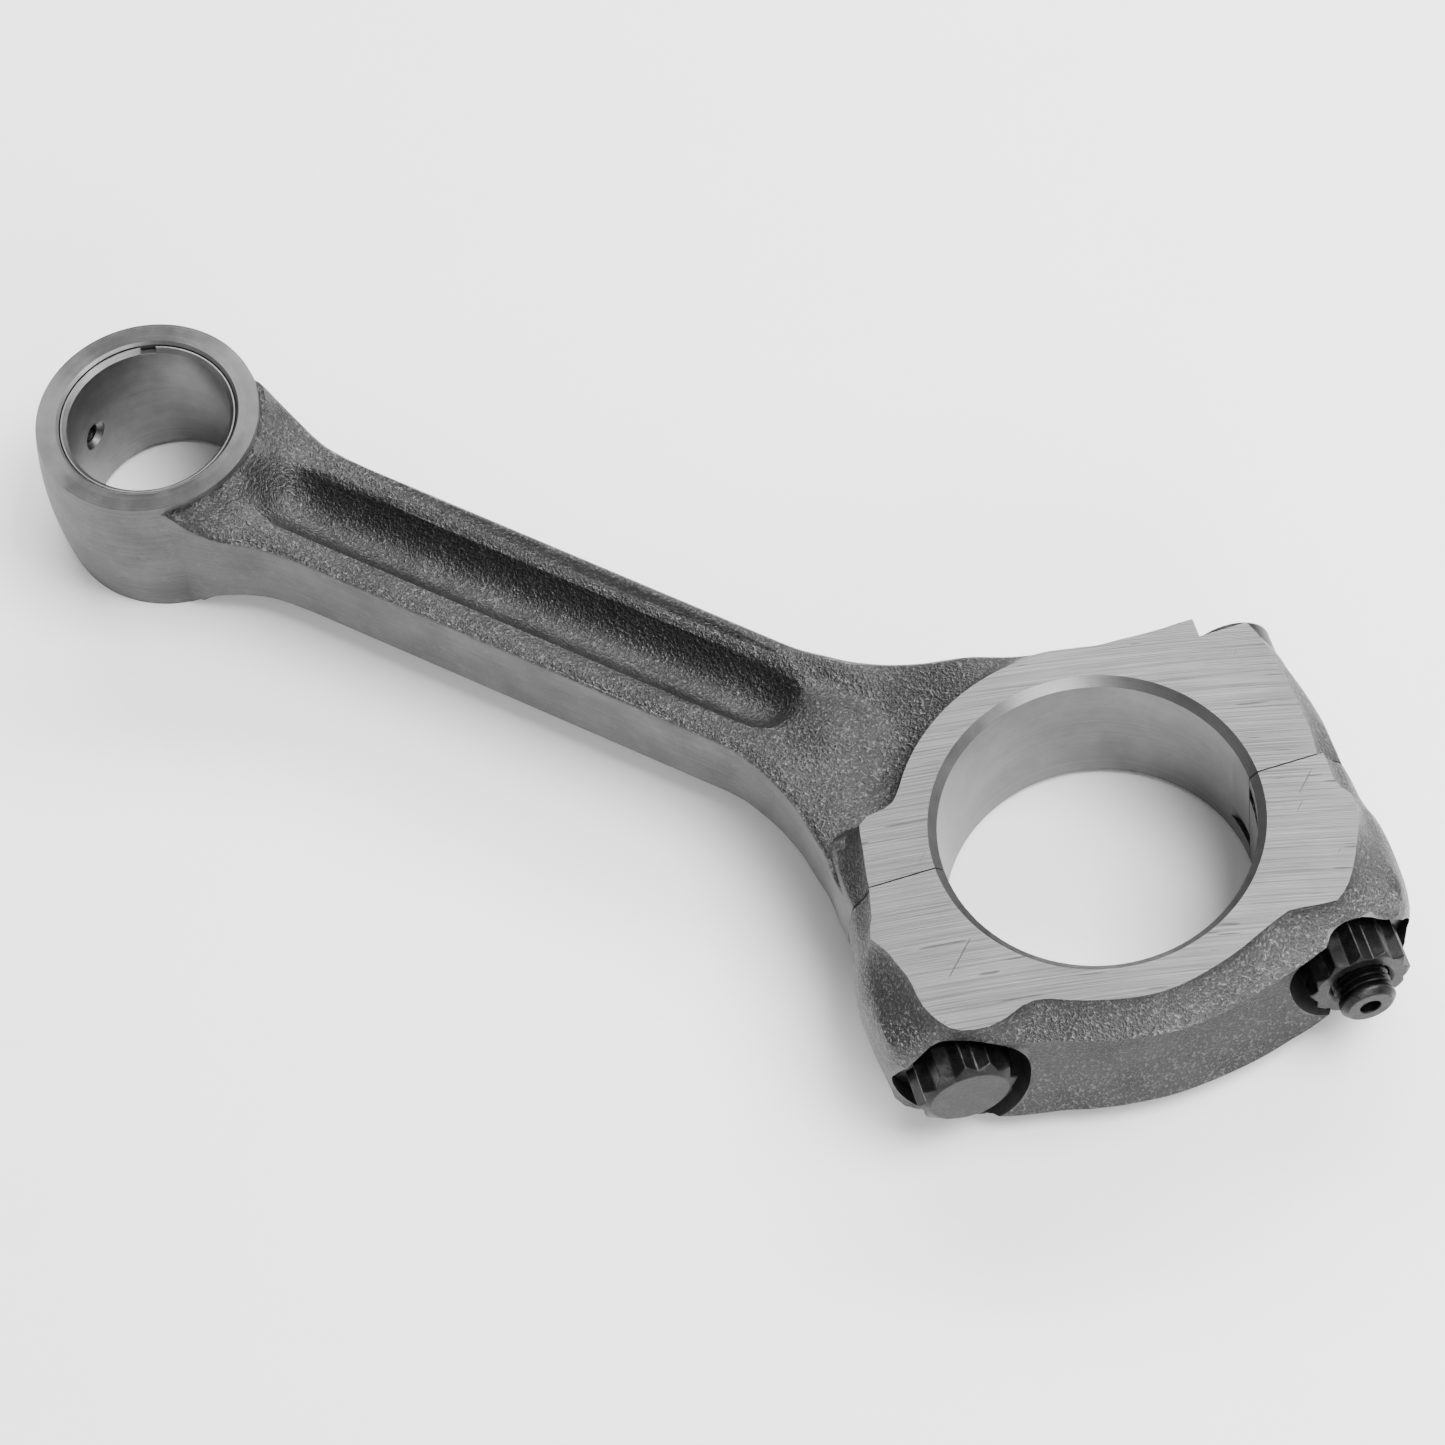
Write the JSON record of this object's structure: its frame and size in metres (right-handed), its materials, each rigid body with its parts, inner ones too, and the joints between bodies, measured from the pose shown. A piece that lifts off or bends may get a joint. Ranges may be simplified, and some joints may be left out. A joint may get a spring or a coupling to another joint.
{
  "type": "connecting rod",
  "caption": "Forged connecting rod with an I-section shank, a bushed small end and an obliquely split big end whose cap is held by a 12-point screw and a bolt with a 12-point nut.",
  "frame": {"origin": "middle of the rod's outline in plan, on the side face it lies on", "axes": "+X along the rod from the small end to the big end, +Z along both bores, +Y across, towards the bolt-head shoulder"},
  "size_m": [0.323, 0.13, 0.0372],
  "materials": {
    "rod_steel": "shot-blasted forging, ground side faces, honed bore",
    "cap_steel": "shot-blasted forging, ground side faces, honed bore",
    "bush_metal": "fine bored steel-backed bush",
    "black_screw": "black oxide, oiled",
    "black_bolt": "black oxide, oiled",
    "black_nut": "black oxide, oiled",
    "pin_steel": "ground"
  },
  "bodies": {
    "rod": {"connecting_rod_body": "rod_steel", "small_end_bush": "bush_metal", "through_bolt": "black_bolt", "dowel_pin_bolt_side": "pin_steel", "dowel_pin_screw_side": "pin_steel"},
    "cap": {"bearing_cap": "cap_steel"},
    "screw": {"cap_screw": "black_screw"},
    "nut": {"bolt_nut": "black_nut"}
  },
  "joints": [
    {"name": "cap_slide", "type": "slide", "parent": "rod", "child": "cap", "axis": [0.7071, -0.7071, 0], "range_m": [0, 0.0195]},
    {"name": "nut_turn", "type": "hinge", "parent": "cap", "child": "nut", "pos_m": [0.12358, 0.02969, 0.0186], "axis": [0.7071, -0.7071, 0], "range_deg": [0, 4681]},
    {"name": "screw_turn", "type": "hinge", "parent": "cap", "child": "screw", "pos_m": [0.06531, -0.02857, 0.0186], "axis": [0.7071, -0.7071, 0], "range_deg": [0, 4681]}
  ],
  "couplings": [
    {"joint": "nut_turn", "follows": "cap_slide", "rad_per_m": 4188.8},
    {"joint": "screw_turn", "follows": "cap_slide", "rad_per_m": 4188.8}
  ]
}
